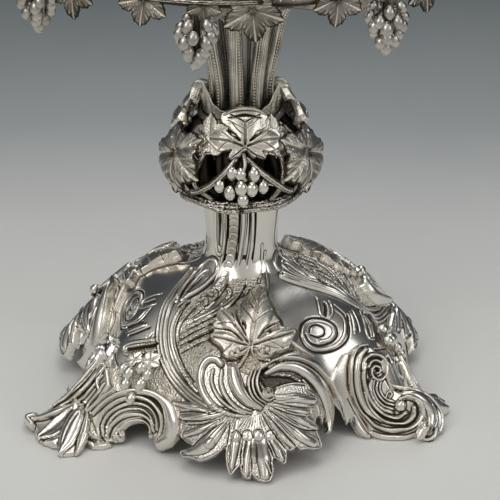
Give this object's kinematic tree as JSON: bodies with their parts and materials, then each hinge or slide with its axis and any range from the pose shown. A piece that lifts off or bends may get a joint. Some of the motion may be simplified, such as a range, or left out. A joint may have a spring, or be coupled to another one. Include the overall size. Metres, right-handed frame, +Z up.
{
  "type": "silver comport",
  "caption": "Tall silver table comport on a rococo scroll base, with a vine knop, bark stems, hanging grapes and leaves, and a lift-out glass dish.",
  "frame": {"origin": "on the axis of the stem at the level of the feet", "axes": "+Z up the stem to the dish, -Y towards the panel that faces the front"},
  "size_m": [0.264, 0.264, 0.29],
  "materials": {
    "chased_silver": "chased and partly matted silver with dark oxide in its recesses",
    "polished_silver": "burnished silver",
    "cast_silver": "cast and chased silver, frosted, with dark oxide in its recesses",
    "inner_silver": "unpolished silver, dark with oxide",
    "steel": "turned steel",
    "glass": "clear pressed glass"
  },
  "bodies": {
    "stand": {"foot_dome": "chased_silver", "neck_plate": "inner_silver", "washer": "steel", "rod_nut": "steel", "tie_rod": "steel", "crown_hub": "cast_silver", "knop_core": "inner_silver", "knop_basket": "cast_silver", "calyx": "cast_silver", "stem_seat": "inner_silver", "bowl_ring": "polished_silver", "scroll_foot_1": "chased_silver", "scroll_foot_2": "chased_silver", "scroll_foot_3": "chased_silver", "arch_scroll_1": "chased_silver", "arch_scroll_2": "chased_silver", "arch_scroll_3": "chased_silver", "shell_mount_1": "chased_silver", "shell_mount_2": "chased_silver", "shell_mount_3": "chased_silver", "panel_leaf_1": "cast_silver", "panel_leaf_2": "cast_silver", "panel_leaf_3": "cast_silver", "panel_grapes_1": "polished_silver", "panel_grapes_2": "polished_silver", "panel_grapes_3": "polished_silver", "knop_upper_leaf_1": "cast_silver", "knop_upper_leaf_2": "cast_silver", "knop_upper_leaf_3": "cast_silver", "knop_hanging_leaf_1": "cast_silver", "knop_hanging_leaf_2": "cast_silver", "knop_hanging_leaf_3": "cast_silver", "knop_grapes_1": "polished_silver", "knop_grapes_2": "polished_silver", "knop_grapes_3": "polished_silver", "vine_stem_1": "cast_silver", "vine_stem_2": "cast_silver", "vine_stem_3": "cast_silver", "vine_stem_4": "cast_silver", "vine_stem_5": "cast_silver", "vine_stem_6": "cast_silver", "vine_stem_7": "cast_silver", "vine_stem_8": "cast_silver", "leaf_spray_1": "cast_silver", "leaf_spray_2": "cast_silver", "leaf_spray_3": "cast_silver", "leaf_spray_4": "cast_silver", "leaf_spray_5": "cast_silver", "leaf_spray_6": "cast_silver", "leaf_spray_7": "cast_silver", "leaf_spray_8": "cast_silver", "hanging_grapes_1": "polished_silver", "hanging_grapes_2": "polished_silver", "hanging_grapes_3": "polished_silver", "hanging_grapes_4": "polished_silver", "hanging_grapes_5": "polished_silver", "hanging_grapes_6": "polished_silver", "hanging_grapes_7": "polished_silver", "hanging_grapes_8": "polished_silver"},
    "dish": {"glass_dish": "glass"}
  },
  "joints": [
    {"name": "dish_lift", "type": "slide", "parent": "stand", "child": "dish", "axis": [0, 0, 1], "range_m": [0, 0.06]}
  ]
}
